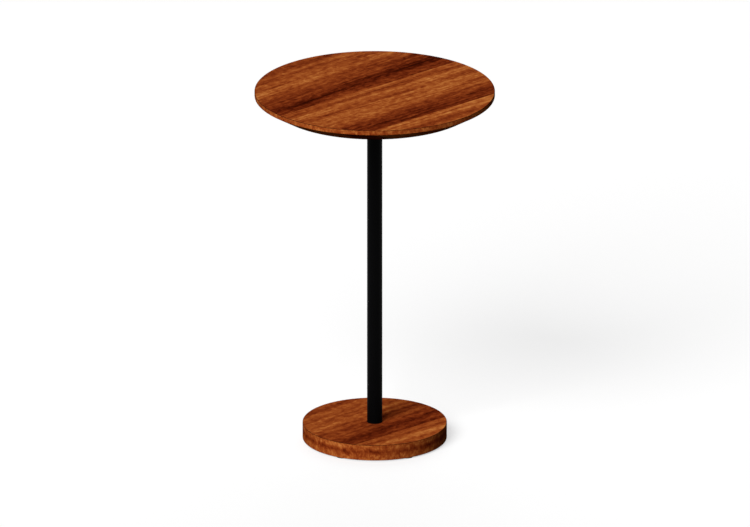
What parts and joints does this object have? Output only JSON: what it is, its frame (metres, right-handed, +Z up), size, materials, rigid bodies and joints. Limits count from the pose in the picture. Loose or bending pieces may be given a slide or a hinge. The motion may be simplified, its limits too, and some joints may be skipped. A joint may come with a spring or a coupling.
{
  "type": "wine table",
  "caption": "Small round wine table: bevelled timber top on a slim black steel post, with a weighted round timber base, for holding glasses beside a seat.",
  "frame": {"origin": "on the floor plane, on the post's axis, under the middle of the base", "axes": "+Z up along the post; +X to the right and -Y to the front as the picture shows the table"},
  "size_m": [0.4, 0.4, 0.612],
  "materials": {
    "timber": "clear satin oil on striped red-brown hardwood",
    "black_powder_coat": "matt black powder coat on steel",
    "zinc_plated_steel": "bright zinc plate",
    "ballast_steel": "black mill scale under clear lacquer",
    "felt": "pressed wool felt"
  },
  "bodies": {
    "root": {"top_board_1": "timber", "top_board_2": "timber", "top_board_3": "timber", "base_board_1": "timber", "base_board_2": "timber", "post_tube": "black_powder_coat", "top_plate": "black_powder_coat", "top_plate_weld": "black_powder_coat", "top_screws": "zinc_plated_steel", "top_washers": "zinc_plated_steel", "top_inserts": "zinc_plated_steel", "post_plug": "zinc_plated_steel", "base_bolt": "zinc_plated_steel", "base_washer": "zinc_plated_steel", "base_spring_washer": "zinc_plated_steel", "ballast_screws": "zinc_plated_steel", "ballast_plate": "ballast_steel", "floor_pad_1": "felt", "floor_pad_2": "felt", "floor_pad_3": "felt", "floor_pad_4": "felt", "floor_pad_5": "felt", "floor_pad_6": "felt"}
  },
  "joints": []
}
